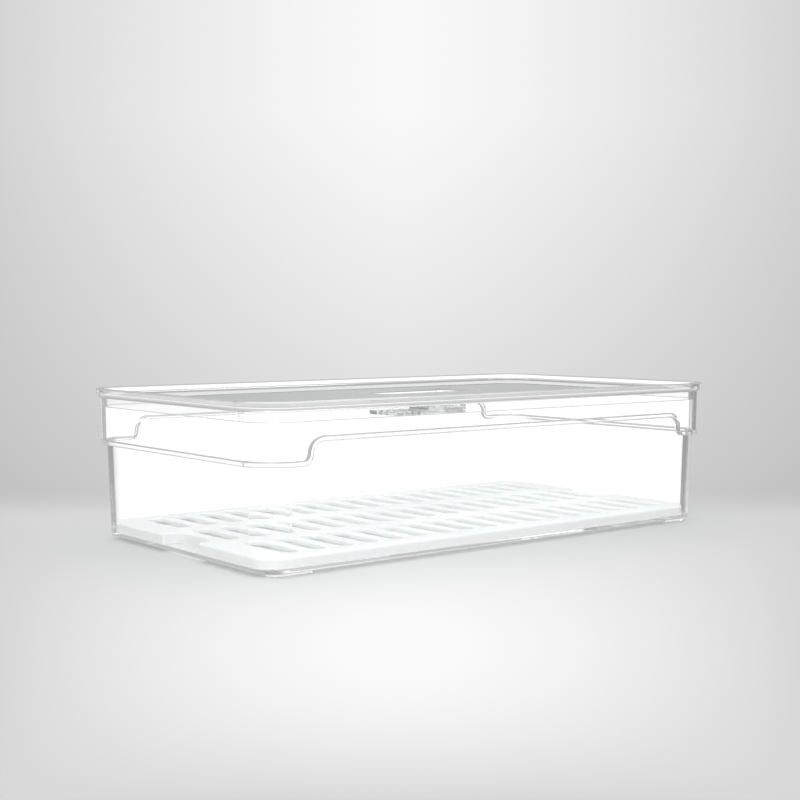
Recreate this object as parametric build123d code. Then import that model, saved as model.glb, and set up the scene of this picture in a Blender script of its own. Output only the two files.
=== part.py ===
from build123d import *
import math
import os
from collections import namedtuple

# Shallow lidded fridge bin: body, lid, vent frame, sliding shutter and drain tray.
# Millimetres, +Z up, +X along the long side, origin at the centre of the footprint
# on the plane the feet stand on.  All pieces are built in their assembled places.

Plan = namedtuple("Plan", "length width radius")    # rounded rectangle seen from above

OVERRUN = 1.0           # how far a cutter runs past the face it opens


# ---------------------------------------------------------------- shared helpers
def at(z):
    return Plane.XY.offset(z)


def inset(plan, by):
    """The plan offset inwards; a negative value grows it."""
    return Plan(plan.length - 2 * by, plan.width - 2 * by, plan.radius - by)


def prism(plan, z_low, z_high, draft=0.0):
    """Rounded rectangular prism, opening upwards by draft degrees."""
    return extrude(at(z_low) * RectangleRounded(*plan), z_high - z_low, taper=-draft)


def slot_cutter(x, y, length, width, z_low, z_high):
    """Round-ended slot with its long axis along Y."""
    outline = Rot(0, 0, 90) * SlotOverall(length, width)
    return extrude(Pos(x, y, z_low) * outline, z_high - z_low)


def fuse(shapes):
    whole = shapes[0]
    for shape in shapes[1:]:
        whole = whole + shape
    return whole


def edges_at(shape, z, centre_x=0.0, half_x=math.inf):
    """Edges lying flat at height z, within half_x of centre_x along X."""
    found = []
    for edge in shape.edges():
        box = edge.bounding_box()
        flat = abs(box.min.Z - z) < 0.02 and abs(box.max.Z - z) < 0.02
        if flat and box.min.X > centre_x - half_x and box.max.X < centre_x + half_x:
            found.append(edge)
    return found


def soften(shape, edges, radius):
    """Fillet, stepping the radius down if the kernel can't make it."""
    for factor in (1.0, 0.8, 0.6, 0.4, 0.25):
        # Guards against a fillet that fails at this radius; the next smaller one is
        # tried, and the shape stays sharp if none can be made.
        try:
            rounded = fillet(edges, radius * factor)
            if rounded.is_valid and rounded.volume > 0:
                return rounded
        except Exception:
            pass
    return shape


# ---------------------------------------------------------------- bin body
WALL = 2.0
FLOOR_T = 2.0
RIM_Z = 77.2                        # top edge of the bin
RIM_EDGE_R = 0.7

FOOT_H = 1.8
FOOT_W = 3.6
FOOT_IN, FOOT_OUT = 125.0, 146.0    # where a foot starts and ends along X
FOOT_INSET = 1.5                    # from the tub's outside at the floor
FOOT_EMBED = 0.4                    # how far a foot reaches up into the tub
FOOT_EDGE_R = 0.5
FOOT_ZONE_Y, FOOT_ZONE_W, FOOT_ZONE_H = 82, 36, 10    # block that keeps one foot
FLOOR_Z = FOOT_H + FLOOR_T          # top of the floor

# lower tub, opening upwards
TUB = Plan(303.8, 162.4, 12.8)      # outside, at its underside
TUB_IN_R = 12.6                     # inner corner radius; the corners are thicker
TUB_IN_EXTRA = 0.09                 # added to the cavity's length and width
TUB_DRAFT = 1.95                    # degrees
TUB_EDGE_R, TUB_IN_EDGE_R = 1.0, 0.8

# wide upper band, raised over the grips in the long sides
BAND = Plan(314.1, 172.7, 19.2)     # outside, at its lower edge
BAND_DRAFT = 1.0
BAND_Z = 51.35                      # underside of the band
BAND_IN_DROP = 0.2                  # start of the inner band below its trimmed line
BAND_EDGE_R, BAND_IN_EDGE_R = 1.1, 1.0
GRIP_Z = 62.4                       # underside of the band over the grips
GRIP_FOOT, GRIP_HEAD = 128.9, 127.5         # half length of a grip, bottom and top
GRIP_R_LOW, GRIP_R_HIGH = 5.2, 5.8          # bends of the S-curve, outside
GRIP_IN_R_LOW, GRIP_IN_R_HIGH = 3.4, 7.4    # and inside
GRIP_WALL = 1.0                     # wall in the steep part of the S-curve
PROFILE_X, PROFILE_TOP_Z, PROFILE_Y = 180, 95, 120    # reach of the profile block


def band_profile(lift, side, r_low, r_high):
    """Block with the band's side view: full depth at the ends, raised over the grips.

    For the inner face, lift moves the line up and side moves its steep part outwards.
    """
    slope = (GRIP_FOOT - GRIP_HEAD) / (GRIP_Z - BAND_Z)
    low_z, high_z = BAND_Z + lift, GRIP_Z + lift
    foot_x = GRIP_FOOT + side - lift * slope
    head_x = GRIP_HEAD + side - lift * slope
    points = [      # X, Z
        (-PROFILE_X, low_z), (-foot_x, low_z), (-head_x, high_z),
        (head_x, high_z), (foot_x, low_z), (PROFILE_X, low_z),
        (PROFILE_X, PROFILE_TOP_Z), (-PROFILE_X, PROFILE_TOP_Z),
    ]
    face = make_face(Plane.XZ * Polyline(*points, close=True))
    for bend_x, bend_z, radius in ((foot_x, low_z, r_low), (head_x, high_z, r_high)):
        bends = [
            v for v in face.vertices()
            if abs(abs(v.X) - bend_x) < 0.05 and abs(v.Z - bend_z) < 0.05
        ]
        face = fillet(bends, radius)
    return extrude(face, PROFILE_Y, both=True)


def lower_line(shape, lift, half_width, end_x):
    """The lower outline of a band, all the way along the S-curves."""
    found = []
    for edge in shape.edges():
        box = edge.bounding_box()
        if box.max.Z < GRIP_Z + lift + 0.1 and box.min.Z > BAND_Z + lift - 0.1:
            on_long_side = max(abs(box.min.Y), abs(box.max.Y)) > half_width - 0.4
            if on_long_side or abs(edge.center().X) > end_x:
                found.append(edge)
    return found


def bin_outside():
    tub = prism(TUB, FOOT_H, RIM_Z, TUB_DRAFT)
    tub = soften(tub, edges_at(tub, FOOT_H), TUB_EDGE_R)
    band = prism(BAND, BAND_Z, RIM_Z, BAND_DRAFT)
    band = band & band_profile(0.0, 0.0, GRIP_R_LOW, GRIP_R_HIGH)
    line = lower_line(band, 0.0, BAND.width / 2, GRIP_FOOT + 0.5)
    return tub + soften(band, line, BAND_EDGE_R)


def bin_cavity():
    top_z = RIM_Z + OVERRUN
    plan = Plan(
        TUB.length - 2 * WALL + TUB_IN_EXTRA, TUB.width - 2 * WALL + TUB_IN_EXTRA, TUB_IN_R
    )
    tub = prism(plan, FLOOR_Z, top_z, TUB_DRAFT)
    tub = soften(tub, edges_at(tub, FLOOR_Z), TUB_IN_EDGE_R)
    band = prism(inset(BAND, WALL), BAND_Z + WALL - BAND_IN_DROP, top_z, BAND_DRAFT)
    band = band & band_profile(WALL, GRIP_WALL, GRIP_IN_R_LOW, GRIP_IN_R_HIGH)
    line = lower_line(band, WALL, BAND.width / 2 - WALL, GRIP_FOOT + 1.5)
    return tub + soften(band, line, BAND_IN_EDGE_R)


def bin_feet():
    """Four low ribs under the long sides, each running into its corner."""
    outer = prism(inset(TUB, FOOT_INSET), 0, FOOT_H + FOOT_EMBED)
    inner = prism(inset(TUB, FOOT_INSET + FOOT_W), -OVERRUN, FOOT_H + OVERRUN)
    zones = fuse([
        Pos(side_x * (FOOT_IN + FOOT_OUT) / 2, side_y * FOOT_ZONE_Y, 0)
        * Box(FOOT_OUT - FOOT_IN, FOOT_ZONE_W, FOOT_ZONE_H)
        for side_x in (-1, 1)
        for side_y in (-1, 1)
    ])
    feet = (outer - inner) & zones
    return soften(feet, edges_at(feet, 0), FOOT_EDGE_R)


def bin_body():
    body = bin_outside() - bin_cavity()
    body = soften(body, edges_at(body, RIM_Z), RIM_EDGE_R)
    return body + bin_feet()


# ---------------------------------------------------------------- lid
LID = Plan(320.0, 178.6, 23.3)
LID_LOW_Z = 77.3        # lower edge of the lid's rim
LID_TOP_Z = 81.7        # top of the stacking rim
LID_TOP_EDGE_R, LID_LOW_EDGE_R = 0.8, 2.2     # outer edge, top and bottom
PANEL_Z = 78.25         # flat panel, sunk inside the stacking rim
PANEL_T = 1.8
RIM_W = 4.6             # width of the stacking rim
RIM_DRAFT = 4.0         # degrees, inner face of the stacking rim
RIM_IN_EDGE_R = 0.7
SKIRT_LOW_Z = 71.8      # lower edge of the locating skirt
SKIRT_GAP, SKIRT_T = 0.5, 1.3
SKIRT_EMBED = 0.5       # how far the skirt's core reaches up into the slab
SKIRT_EDGE_R = 0.5

# dished well near the middle of the lid
VENT_X = 3.0                            # centre of the well and the vent along X
WELL = Plan(72.0, 33.0, 6.0)            # mouth, at the panel
WELL_BASE = Plan(50.2, 25.2, 2.6)       # opening at the bottom
WELL_BASE_Z, WELL_THROAT_Z = 70.6, 71.9       # lower end, and where the slope starts
WELL_T = 1.4
WELL_PAST = 0.02                        # how far the cutter runs below the well
WELL_EDGE_R = 0.8


def funnel(grow=0.0, past=0.0):
    """The dished well, grown outwards; past runs its ends on so that it cuts cleanly."""
    base = inset(WELL_BASE, -grow)
    top_face = (at(PANEL_Z) * RectangleRounded(*inset(WELL, -grow))).face()
    low_face = (at(WELL_THROAT_Z) * RectangleRounded(*base)).face()
    shape = loft([low_face, top_face]) + prism(base, WELL_BASE_Z - past, WELL_THROAT_Z)
    if past:
        shape = shape + prism(WELL, PANEL_Z, PANEL_Z + 2 * OVERRUN)
    return Pos(VENT_X, 0, 0) * shape


def lid():
    slab = prism(LID, LID_LOW_Z, LID_TOP_Z)
    slab = soften(slab, edges_at(slab, LID_TOP_Z), LID_TOP_EDGE_R)
    slab = soften(slab, edges_at(slab, LID_LOW_Z), LID_LOW_EDGE_R)

    # the skirt fits inside the band, which has widened by its draft at this height
    widening = 2 * (SKIRT_LOW_Z - BAND_Z) * math.tan(math.radians(BAND_DRAFT))
    fit = inset(BAND, WALL + SKIRT_GAP)
    skirt = Plan(fit.length + widening, fit.width + widening, fit.radius)
    core = prism(skirt, SKIRT_LOW_Z, LID_LOW_Z + SKIRT_EMBED)
    hollow = prism(inset(skirt, SKIRT_T), SKIRT_LOW_Z - OVERRUN, PANEL_Z - PANEL_T)
    body = slab + core - hollow
    body = body - prism(inset(LID, RIM_W), PANEL_Z, LID_TOP_Z + OVERRUN, RIM_DRAFT)
    body = soften(body, edges_at(body, SKIRT_LOW_Z), SKIRT_EDGE_R)

    # well, open at the bottom
    body = body + funnel(grow=WELL_T) - funnel(past=WELL_PAST)
    mouth = edges_at(body, PANEL_Z, centre_x=VENT_X, half_x=WELL.length / 2 + 1)
    body = soften(body, mouth, WELL_EDGE_R)

    # inner top edge of the stacking rim, which the draft has moved outwards
    inner_top = edges_at(body, LID_TOP_Z, half_x=LID.length / 2 - RIM_W + 0.8)
    return soften(body, inner_top, RIM_IN_EDGE_R)


# ---------------------------------------------------------------- vent frame
# cassette that closes the well from below
VENT = Plan(53.0, 28.0, 5.0)
VENT_LOW_Z, VENT_TOP_Z = 65.6, 70.5
VENT_FLOOR_T = 2.0
VENT_FLOOR_Z = VENT_LOW_Z + VENT_FLOOR_T    # top of the cassette's floor
VENT_EDGE_R = 0.9
COLLAR_GAP = 0.2        # round the collar that plugs into the well
COLLAR_TOP_Z = 71.6
COLLAR_EMBED = 0.5      # how far the collar starts below the cassette's top
COLLAR_EDGE_R = 0.35
THROAT = Plan(46.6, 21.4, 1.8)      # opening over the shutter
THROAT_OVERLAP = 0.1                # how far the throat's cutter dips into the track
TRACK = Plan(49.6, 24.6, 1.6)       # track the shutter runs in
TRACK_H = 1.95
SLOT_X = (-18.4, -13.6, -8.8, -4.0)     # centres of the air slots
SLOT_W, SLOT_LEN = 2.4, 17.0


def vent_frame():
    box = prism(VENT, VENT_LOW_Z, VENT_TOP_Z)
    box = soften(box, edges_at(box, VENT_LOW_Z), VENT_EDGE_R)
    collar = prism(inset(WELL_BASE, COLLAR_GAP), VENT_TOP_Z - COLLAR_EMBED, COLLAR_TOP_Z)
    track_top_z = VENT_FLOOR_Z + TRACK_H
    body = box + collar
    body = body - prism(TRACK, VENT_FLOOR_Z, track_top_z)
    body = body - prism(THROAT, track_top_z - THROAT_OVERLAP, COLLAR_TOP_Z + OVERRUN)
    body = soften(body, edges_at(body, COLLAR_TOP_Z), COLLAR_EDGE_R)
    body = Pos(VENT_X, 0, 0) * body
    for x in SLOT_X:
        body = body - slot_cutter(
            x, 0, SLOT_LEN, SLOT_W, VENT_LOW_Z - OVERRUN, VENT_FLOOR_Z + OVERRUN
        )
    return body


# ---------------------------------------------------------------- vent shutter
SHUT_X0 = 5.0           # -X edge of the shutter when the vent is open
SHUT_LIFT = 0.05        # clearance over the cassette's floor
SHUT_T = 1.6
SHUT = Plan(22.4, TRACK.width - 0.5, 1.2)
SHUT_EMBED = 0.3        # how far the lip and ridges start inside the plate
LIP = Plan(1.6, 19.0, 0.7)
LIP_X, LIP_H, LIP_EDGE_R = 1.3, 3.6, 0.5          # X from the -X edge
RIDGE = Plan(1.1, 14.0, 0.5)
RIDGE_X, RIDGE_H, RIDGE_EDGE_R = 8.2, 1.2, 0.35   # X of the first, from the -X edge
RIDGE_PITCH, RIDGE_COUNT = 2.3, 5


def upstand(plan, x, plate_z, height, edge_radius):
    """Bar standing on the shutter, rounded along its top."""
    bar = Pos(x, 0, 0) * prism(plan, plate_z - SHUT_EMBED, plate_z + height)
    return soften(bar, edges_at(bar, plate_z + height), edge_radius)


def vent_shutter():
    """Plate with an upright lip near its -X edge, and grip ridges."""
    low_z = VENT_FLOOR_Z + SHUT_LIFT
    top_z = low_z + SHUT_T
    body = Pos(SHUT_X0 + SHUT.length / 2, 0, 0) * prism(SHUT, low_z, top_z)
    body = body + upstand(LIP, SHUT_X0 + LIP_X, top_z, LIP_H, LIP_EDGE_R)
    for i in range(RIDGE_COUNT):
        x = SHUT_X0 + RIDGE_X + RIDGE_PITCH * i
        body = body + upstand(RIDGE, x, top_z, RIDGE_H, RIDGE_EDGE_R)
    return body


# ---------------------------------------------------------------- drain tray
TRAY = Plan(297.6, 156.2, 11.2)
TRAY_LOW_Z = FLOOR_Z + 0.05         # just clear of the bin's floor
TRAY_TOP_Z = 9.4
TRAY_DRAFT = 0.8
TRAY_PLATE_T = 2.0
TRAY_SKIRT_T = 1.8
TRAY_EDGE_R, TRAY_TOP_EDGE_R = 1.4, 0.6     # outer edge, then all edges of the top
TRAY_INNER_TOP_Z = TRAY_TOP_Z - 0.5         # ribs and notch walls end inside the plate
TRAY_PITCH_X, TRAY_PITCH_Y = 16.0, 49.2
TRAY_COLUMNS, TRAY_ROWS = 17, 3
TRAY_SLOT_W, TRAY_SLOT_LEN = 9.6, 38.6
TRAY_SLOT_LIFT, TRAY_SLOT_H = 0.5, 8        # slot cutter, from the tray's underside
NOTCH = Plan(20.0, 36.0, 8.0)       # finger notch, centred on a short side
NOTCH_WALL_INSET = 0.5              # keeps the notch walls inside the skirt
RIB_T = 1.6
RIB_END_INSET = 1.0
RIB_GAP_X = (-96.6, -32.2, 32.2, 96.6)      # centres of the drain gaps
RIB_GAP = (12, 6, 2.4)              # box centred on the tray's underside


def tray_rib(y):
    height = TRAY_INNER_TOP_Z - TRAY_LOW_Z
    rib = Pos(0, y, (TRAY_LOW_Z + TRAY_INNER_TOP_Z) / 2) * Box(
        TRAY.length - 2 * RIB_END_INSET, RIB_T, height
    )
    for x in RIB_GAP_X:
        rib = rib - Pos(x, y, TRAY_LOW_Z) * Box(*RIB_GAP)
    return rib


def at_both_ends(shape):
    return fuse([Pos(side * TRAY.length / 2, 0, 0) * shape for side in (-1, 1)])


def drain_tray():
    low_z = TRAY_LOW_Z
    shell = prism(TRAY, low_z, TRAY_TOP_Z, TRAY_DRAFT)
    shell = soften(shell, edges_at(shell, TRAY_TOP_Z), TRAY_EDGE_R)
    hollow = prism(inset(TRAY, TRAY_SKIRT_T), low_z - OVERRUN, TRAY_TOP_Z - TRAY_PLATE_T)

    # walled finger notches, one in the middle of each short side
    notches = at_both_ends(prism(NOTCH, low_z - OVERRUN, TRAY_TOP_Z + OVERRUN))
    walls = at_both_ends(prism(inset(NOTCH, -TRAY_SKIRT_T), low_z, TRAY_INNER_TOP_Z))
    walls = walls & prism(inset(TRAY, NOTCH_WALL_INSET), low_z, TRAY_INNER_TOP_Z)
    body = shell - hollow + walls - notches

    # two long ribs carry the plate between the rows of slots
    for side in (-1, 1):
        body = body + tray_rib(side * TRAY_PITCH_Y / 2)

    slot_low_z = low_z + TRAY_SLOT_LIFT
    body = body - [
        slot_cutter(
            (i - (TRAY_COLUMNS - 1) / 2) * TRAY_PITCH_X,
            (j - (TRAY_ROWS - 1) / 2) * TRAY_PITCH_Y,
            TRAY_SLOT_LEN, TRAY_SLOT_W, slot_low_z, slot_low_z + TRAY_SLOT_H,
        )
        for i in range(TRAY_COLUMNS)
        for j in range(TRAY_ROWS)
    ]
    return soften(body, edges_at(body, TRAY_TOP_Z), TRAY_TOP_EDGE_R)


os.makedirs("parts", exist_ok=True)
for make in (bin_body, lid, vent_frame, vent_shutter, drain_tray):
    export_step(make(), f"parts/{make.__name__}.step")
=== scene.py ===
import bpy
import math
from mathutils import Matrix, Vector


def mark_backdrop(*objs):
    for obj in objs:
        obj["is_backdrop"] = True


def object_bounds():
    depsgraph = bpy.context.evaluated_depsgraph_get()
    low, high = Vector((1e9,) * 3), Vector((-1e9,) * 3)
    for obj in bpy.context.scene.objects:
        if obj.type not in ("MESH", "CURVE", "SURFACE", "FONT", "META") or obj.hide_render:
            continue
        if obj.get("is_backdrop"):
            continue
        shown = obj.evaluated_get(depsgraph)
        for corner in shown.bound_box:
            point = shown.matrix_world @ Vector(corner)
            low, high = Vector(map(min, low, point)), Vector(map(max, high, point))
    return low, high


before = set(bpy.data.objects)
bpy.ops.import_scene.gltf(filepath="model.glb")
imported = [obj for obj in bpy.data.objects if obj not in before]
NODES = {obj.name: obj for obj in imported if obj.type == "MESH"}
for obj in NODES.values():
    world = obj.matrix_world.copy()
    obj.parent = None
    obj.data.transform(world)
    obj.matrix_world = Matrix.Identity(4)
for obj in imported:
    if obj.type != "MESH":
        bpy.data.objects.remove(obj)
CAD_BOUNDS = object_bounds()
MM = 0.001
WHITE = (1, 1, 1, 1)
scene = bpy.context.scene

CAM_POS = Vector((-483.63, -592.87, 118.79)) * MM
CAM_FWD = Vector((0.62385717, 0.77925833, -0.05965482)).normalized()
CAM_RIGHT = Vector((0.780649, -0.624970, 0.0)).normalized()
CAM_UP = CAM_RIGHT.cross(CAM_FWD).normalized()


# ------------------------------------------------------------------ node helpers
class Tree:
    """Writes the node tree of a material or a world. Any input takes a value, a socket or a node."""

    def __init__(self, owner):
        owner.use_nodes = True
        self.owner = owner
        self.nt = owner.node_tree
        self.nt.nodes.clear()

    def new(self, kind, inputs=None, **props):
        node = self.nt.nodes.new(kind)
        for key, value in props.items():
            setattr(node, key, value)
        for key, value in (inputs or {}).items():
            self.put(node.inputs[key], value)
        return node

    def put(self, socket, value):
        if isinstance(value, bpy.types.Node):
            value = value.outputs[0]
        if isinstance(value, bpy.types.NodeSocket):
            self.nt.links.new(value, socket)
        else:
            socket.default_value = value

    def math(self, operation, a, b=0.0, clamp=False):
        return self.new("ShaderNodeMath", {0: a, 1: b, 2: 0.0},
                        operation=operation, use_clamp=clamp).outputs[0]

    def vector(self, operation, inputs, output="Vector"):
        node = self.new("ShaderNodeVectorMath", inputs, operation=operation)
        return node.outputs[output]

    def remap(self, value, span, to=(0, 1), smooth=False):
        """Maps the range span onto the range to, held at both ends."""
        return self.new("ShaderNodeMapRange", dict(enumerate((value, *span, *to))),
                        interpolation_type="SMOOTHSTEP" if smooth else "LINEAR").outputs[0]

    def noise(self, vector, scale, detail=3.0, roughness=0.5):
        return self.new("ShaderNodeTexNoise", {"Vector": vector, "Scale": scale, "Detail": detail,
                                               "Roughness": roughness}).outputs["Fac"]

    def mix_colour(self, share, a, b):
        return self.new("ShaderNodeMix", {0: share, 6: a, 7: b}, data_type="RGBA").outputs[2]

    def mix_value(self, share, a, b):
        return self.new("ShaderNodeMix", {0: share, 2: a, 3: b}, data_type="FLOAT").outputs[0]

    def mix_shader(self, share, a, b):
        return self.new("ShaderNodeMixShader", {0: share, 1: a, 2: b})

    def emission(self, strength):
        return self.new("ShaderNodeEmission", {"Color": WHITE, "Strength": strength})

    def geometry(self, output):
        return self.new("ShaderNodeNewGeometry").outputs[output]

    def xyz(self, vector):
        return self.new("ShaderNodeSeparateXYZ", {0: vector}).outputs

    def out(self, shader, kind="ShaderNodeOutputMaterial"):
        self.new(kind, {"Surface": shader})
        return self.owner


def material_tree(name):
    return Tree(bpy.data.materials.new(name))


# ------------------------------------------------------------------ the bin's materials
TRAPPED = 16.5           # bounces after which light counts as trapped in the plastic
EDGE_ON = (0.86, 0.93)   # facing values over which the skin turns into a mirror
SIDE_GLOW = 0.17         # painted glow on the upright faces of the tray, in place of light through the slab


def clear_plastic(name, tint=(0.996, 0.998, 0.998, 1), ior=1.5, frost=0.0, seed=0.0, glow=0.5,
                  skin_mirror=1.0):
    """Injection-moulded clear plastic: a polished skin with faint flow lines and a little haze.
    Light from lamps passes straight through, as it does through a thin wall."""
    t = material_tree(name)
    object_place = t.new("ShaderNodeTexCoord").outputs["Object"]
    shifted = t.new("ShaderNodeMapping", {"Vector": object_place,
                                          "Location": (seed, seed * 0.7, 0)})
    flow = t.new("ShaderNodeMapping", {"Vector": shifted, "Scale": (9.0, 14.0, 26.0)})
    waves = t.noise(flow, scale=1.0, detail=2.0, roughness=0.4)
    haze = t.noise(shifted, scale=22.0, detail=5.0, roughness=0.6)
    rough = t.remap(haze, span=(0.35, 0.75), to=(0.004 + frost, 0.02 + frost * 1.4))
    bump = t.new("ShaderNodeBump", {"Strength": 0.02, "Distance": 0.0004, "Height": waves})
    plastic = t.new("ShaderNodeBsdfPrincipled", {
        "Base Color": tint, "Roughness": rough, "IOR": ior, "Transmission Weight": 1.0,
        "Normal": bump})

    # seen almost edge on, the outside of the skin mirrors nearly everything
    facing = t.new("ShaderNodeLayerWeight", {"Blend": 0.5}).outputs["Facing"]
    outside = t.math("SUBTRACT", 1.0, t.geometry("Backfacing"))
    graze = t.math("MULTIPLY", t.remap(facing, EDGE_ON, to=(0, skin_mirror), smooth=True), outside)
    mirror = t.new("ShaderNodeBsdfGlossy", {"Color": (0.68, 0.685, 0.685, 1), "Roughness": rough})
    skin = t.mix_shader(graze, plastic, mirror)

    # rays that keep bouncing inside the wall end on a painted soft grey glow
    ray = t.new("ShaderNodeLightPath").outputs
    lost = t.math("GREATER_THAN", ray["Ray Depth"], TRAPPED)
    solid = t.mix_shader(lost, skin, t.emission(glow))

    passes = t.math("MAXIMUM", ray["Is Shadow Ray"], ray["Is Diffuse Ray"])
    clear = t.new("ShaderNodeBsdfTransparent", {"Color": (0.93, 0.94, 0.94, 1)})
    return t.out(t.mix_shader(passes, solid, clear))


def milky_plastic(name):
    """Translucent white polypropylene with a fine satin texture and a painted glow on its upright
    faces.
    """
    t = material_tree(name)
    object_place = t.new("ShaderNodeTexCoord").outputs["Object"]
    fine = t.noise(object_place, scale=900.0)
    broad = t.noise(object_place, scale=14.0)
    patches = (0.3, 0.7)  # range of the broad noise that shows
    colour = t.mix_colour(t.remap(broad, patches),
                          (0.73, 0.735, 0.735, 1), (0.76, 0.763, 0.76, 1))
    bump = t.new("ShaderNodeBump", {"Strength": 0.12, "Distance": 0.0002, "Height": fine})
    rough = t.remap(broad, patches, to=(0.34, 0.48))

    # painted glow on the sides and in the slots, standing in for light that comes through the slab
    up_part = t.xyz(t.geometry("Normal"))[2]
    flatness = t.math("POWER", t.math("ABSOLUTE", up_part), 2.0)
    sides = t.math("SUBTRACT", 1.0, flatness, clamp=True)
    return t.out(t.new("ShaderNodeBsdfPrincipled", {
        "Base Color": colour, "Roughness": rough, "IOR": 1.49, "Subsurface Weight": 0.35,
        "Subsurface Radius": (0.004, 0.004, 0.004), "Subsurface Scale": 1.0, "Normal": bump,
        "Emission Color": WHITE, "Emission Strength": t.math("MULTIPLY", sides, SIDE_GLOW)}))


def dress(node, mat):
    slots = NODES[node].data.materials
    slots.clear()
    slots.append(mat)


# the vent's parts bend light less than the walls, have a stronger painted glow and have no mirror
# skin
VENT = dict(ior=1.18, glow=0.85, skin_mirror=0.0)

dress("bin_body", clear_plastic("clear_body_plastic"))
dress("lid", clear_plastic("clear_lid_plastic", seed=3.1))
dress("vent_frame", clear_plastic("clear_vent_plastic", frost=0.01, seed=5.7, **VENT))
dress("vent_shutter", clear_plastic("frosted_shutter_plastic", tint=(0.98, 0.985, 0.985, 1),
                                    frost=0.02, seed=8.3, **VENT))
dress("drain_tray", milky_plastic("milky_tray_plastic"))


# ------------------------------------------------------------------ studio materials
def grey(level):
    """Linear value of an sRGB grey from 0 to 255."""
    level = level / 255
    return level / 12.92 if level <= 0.04045 else ((level + 0.055) / 1.055) ** 2.4


# painted brightness of what shows through the plastic
BIN_REACH = 0.75          # metres from the camera to the bin
STRAIGHT = 1.25           # white met by rays that are not bent
SIDE = (0.44, 0.29)       # met by rays bent sideways, at the left and right ends of SIDE_SPAN
SIDE_SPAN = (-0.5, 0.5)   # metres to the camera's right of the origin
OVER = 0.63               # met by rays bent up or down
UNDER = 0.86              # painted light met on the floor under and close to the bin
SIDE_BEND = (4, 18)       # degrees of sideways bend over which straight turns into bent
TILT_BEND = (2.5, 12)     # the same for bends up and down

# floor areas round the origin: half length along X, half width along Y, width of the soft edge
UNDER_BOX = (0.144, 0.074, 0.006)
AROUND_BOX = (0.162, 0.092, 0.02)

# studio gradients; places are shares of the frame's width or height, from its lower left corner
MIDDLE = 0.5                            # the gradients mirror about this share of the width
WALL_BAND = (0.37, 0.86)                # heights between which the wall brightens
WALL_CENTRE = (grey(210), grey(249))    # low and high in the middle
WALL_EDGE = (grey(193), grey(213))      # low and high at the left and right edges
WALL_SIDE_POWER = 1.35
WALL_HIGH_POWER = 0.8
FLOOR_BRIGHT_Y = 0.2                    # height of the floor's brightest line
FLOOR_CENTRE = grey(247)
FLOOR_RIM = grey(212)
FLOOR_SIDE_POWER = 1.6
FLOOR_DEPTH_POWER = 1.9
FLOOR_GAIN = 0.67                       # turns the floor's greys into its diffuse colour
FLOOR_MEETS_WALL = (0.352, 0.389)       # heights over which the floor fades into the wall
PAINTED_UNDER_LIGHT = 0.3                          # painted light on the floor under the bin, in place of the tray's shade


def distance(t, value, middle):
    return t.math("ABSOLUTE", t.math("SUBTRACT", value, middle))


def screen(t):
    return t.xyz(t.new("ShaderNodeTexCoord").outputs["Window"])[:2]


def straight_share(t, parts, bend_range):
    """1 for rays that come straight from the camera, 0 for rays the plastic has bent beyond
    bend_range. The bend is judged at the bin, from the line between the camera and the point hit.
    parts picks the sideways or the up and down part of the bend."""
    line = t.vector("SUBTRACT", {0: t.geometry("Position"), 1: tuple(CAM_POS)})
    reach = t.vector("LENGTH", {0: line}, "Value")
    way = t.vector("NORMALIZE", {0: line})
    gap = t.vector("ADD", {0: way, 1: t.geometry("Incoming")})
    part = t.vector("MULTIPLY", {0: gap, 1: parts})
    off = t.vector("LENGTH", {0: part}, "Value")
    bend = t.math("MULTIPLY", off, t.math("DIVIDE", reach, BIN_REACH))
    return t.remap(bend, [math.radians(angle) for angle in bend_range], to=(1, 0), smooth=True)


def near_bin(t, half_x, half_y, soft):
    """1 on the floor inside a box round the origin, fading to 0 over soft metres."""
    place = t.xyz(t.geometry("Position"))
    inside = [t.remap(t.math("ABSOLUTE", place[axis]), span=(half, half + soft), to=(1, 0))
              for axis, half in enumerate((half_x, half_y))]
    return t.math("MULTIPLY", *inside)


def through_plastic(t, plain_shader, under=0.0, near=0.0):
    """White behind the plastic for rays that pass through it, darker for rays it has bent away.
    The floor close to the bin shows a painted light level, however the rays reach it."""
    across = t.vector("DOT_PRODUCT", {0: t.geometry("Position"), 1: tuple(CAM_RIGHT)}, "Value")
    side = t.remap(across, SIDE_SPAN, to=SIDE)
    level = t.remap(straight_share(t, (1, 1, 0), SIDE_BEND), span=(0, 1), to=(side, STRAIGHT))
    tilt = t.remap(straight_share(t, (0, 0, 1), TILT_BEND), span=(0, 1), to=(OVER, STRAIGHT))
    seen = t.math("MAXIMUM", t.math("MINIMUM", level, tilt), t.math("MULTIPLY", near, UNDER))
    behind = t.emission(t.mix_value(under, seen, UNDER))
    ray = t.new("ShaderNodeLightPath").outputs
    return t.mix_shader(ray["Is Transmission Ray"], plain_shader, behind)


def wall_glow(t):
    """Soft grey gradient of the studio wall, brightest high in the middle."""
    x, y = screen(t)
    across = t.remap(distance(t, x, MIDDLE), span=(0, MIDDLE))
    side = t.math("POWER", across, WALL_SIDE_POWER)
    high = t.math("POWER", t.remap(y, WALL_BAND), WALL_HIGH_POWER)
    centre = t.remap(high, span=(0, 1), to=WALL_CENTRE)
    edge = t.remap(high, span=(0, 1), to=WALL_EDGE)
    return t.emission(t.mix_value(side, centre, edge))


def wall_material():
    t = material_tree("studio_wall")
    return t.out(through_plastic(t, wall_glow(t)))


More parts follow.
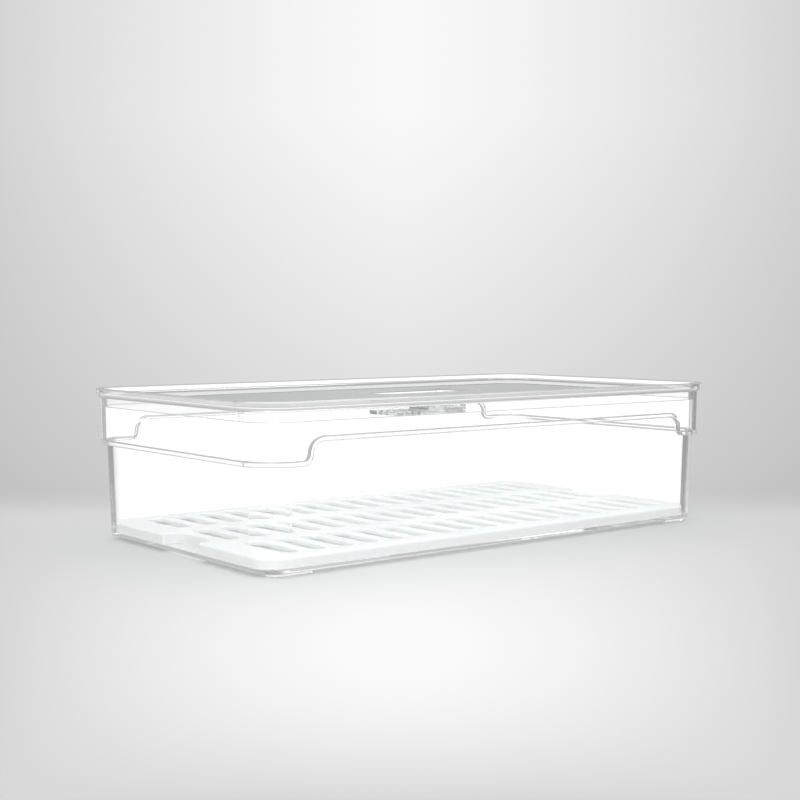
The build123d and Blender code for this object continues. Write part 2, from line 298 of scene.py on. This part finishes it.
def floor_material():
    t = material_tree("studio_floor")
    x, y = screen(t)
    across = t.remap(distance(t, x, MIDDLE), span=(0, MIDDLE))
    side = t.math("POWER", across, FLOOR_SIDE_POWER)
    along = t.remap(distance(t, y, FLOOR_BRIGHT_Y), span=(0, FLOOR_BRIGHT_Y))
    depth = t.math("POWER", along, FLOOR_DEPTH_POWER)
    centre = t.remap(depth, span=(0, 1), to=(FLOOR_CENTRE, FLOOR_RIM))
    shade = t.math("MULTIPLY", t.mix_value(side, centre, FLOOR_RIM), FLOOR_GAIN)
    colour = t.new("ShaderNodeCombineColor", {0: shade, 1: shade, 2: shade})
    diffuse = t.new("ShaderNodeBsdfDiffuse", {"Color": colour})

    # painted light on the floor under the bin, in place of the shade the tray casts there
    under = near_bin(t, *UNDER_BOX)
    painted_under_light = t.emission(t.math("MULTIPLY", under, PAINTED_UNDER_LIGHT))
    lit = t.new("ShaderNodeAddShader", {0: diffuse, 1: painted_under_light})

    meet = t.remap(y, FLOOR_MEETS_WALL, smooth=True)
    both = t.mix_shader(meet, lit, wall_glow(t))
    return t.out(through_plastic(t, both, under, near_bin(t, *AROUND_BOX)))


# ------------------------------------------------------------------ studio
def plane(name, centre, u, v, half_u, half_v, mat):
    mesh = bpy.data.meshes.new(name)
    corners = [centre + u * (a * half_u) + v * (b * half_v)
               for a, b in ((-1, -1), (1, -1), (1, 1), (-1, 1))]
    mesh.from_pydata([tuple(corner) for corner in corners], [], [(0, 1, 2, 3)])
    mesh.materials.append(mat)
    obj = bpy.data.objects.new(name, mesh)
    scene.collection.objects.link(obj)
    return obj


FLAT_FWD = Vector((CAM_FWD.x, CAM_FWD.y, 0)).normalized()
UP = Vector((0, 0, 1))
floor = plane("studio_floor", centre=FLAT_FWD * 0.7, u=CAM_RIGHT, v=FLAT_FWD,
              half_u=3.0, half_v=2.2, mat=floor_material())
wall = plane("studio_wall", centre=FLAT_FWD * 2.8 + UP * 1.2, u=CAM_RIGHT, v=UP,
             half_u=3.0, half_v=1.3, mat=wall_material())
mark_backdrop(floor, wall)


# ------------------------------------------------------------------ lights
def lamp(name, place, aim, size, watts):
    light = bpy.data.lights.new(name, "AREA")
    light.shape = "RECTANGLE"
    light.size, light.size_y = size
    light.energy = watts
    obj = bpy.data.objects.new(name, light)
    obj.location = place
    obj.rotation_euler = (Vector(aim) - Vector(place)).to_track_quat("-Z", "Y").to_euler()
    scene.collection.objects.link(obj)
    return obj


top = lamp("top_light", place=(0, 0, 1.6), aim=(0, 0, 0), size=(2.4, 2.4), watts=36)
top.visible_glossy = False  # or it would mirror as a white sheet in the lid
lamp("front_light", place=(-1.3, -1.5, 1.1), aim=(0, 0, 0.03), size=(1.4, 1.0), watts=16)

# a weak fill from just behind and above the camera keeps the slots of the tray light;
# it lights the tray only
fill = lamp("tray_fill", place=CAM_POS - CAM_FWD * 0.1 + CAM_UP * 0.05, aim=(0, 0, 0.01),
            size=(0.3, 0.3), watts=0.7)
only_tray = bpy.data.collections.new("lit_by_tray_fill")
only_tray.objects.link(NODES["drain_tray"])
fill.light_linking.receiver_collection = only_tray

WORLD_LEVELS = (0.55, 0.78)  # strength for other rays, and for rays that come through plastic


def studio_world():
    t = Tree(bpy.data.worlds.new("studio_world"))
    ray = t.new("ShaderNodeLightPath").outputs
    level = t.remap(ray["Is Transmission Ray"], span=(0, 1), to=WORLD_LEVELS)
    sky = t.new("ShaderNodeBackground", {"Color": WHITE, "Strength": level})
    return t.out(sky, "ShaderNodeOutputWorld")


scene.world = studio_world()

# ------------------------------------------------------------------ camera and render
cam_data = bpy.data.cameras.new("camera")
cam_data.sensor_width = 36.0
cam_data.lens = 60.765
cam_data.clip_start = 0.01
cam = bpy.data.objects.new("camera", cam_data)
turn = Matrix((CAM_RIGHT, CAM_UP, -CAM_FWD)).transposed()
cam.matrix_world = Matrix.Translation(CAM_POS) @ turn.to_4x4()
scene.collection.objects.link(cam)
scene.camera = cam
scene.view_settings.view_transform = "Standard"

BOUNCES = 22  # enough for light to pass the TRAPPED limit
scene.cycles.max_bounces = BOUNCES
scene.cycles.transmission_bounces = BOUNCES
scene.cycles.glossy_bounces = BOUNCES
scene.cycles.caustics_reflective = False

bpy.context.view_layer.update()


def plain(b):
    """Turns bounds into types that JSON can hold."""
    if isinstance(b, dict):
        return {str(k): plain(v) for k, v in b.items()}
    if isinstance(b, (list, tuple, Vector)):
        return [plain(v) for v in b]
    return float(b) if isinstance(b, (int, float)) else b


{"cad": plain(CAD_BOUNDS), "all": plain(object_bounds())}
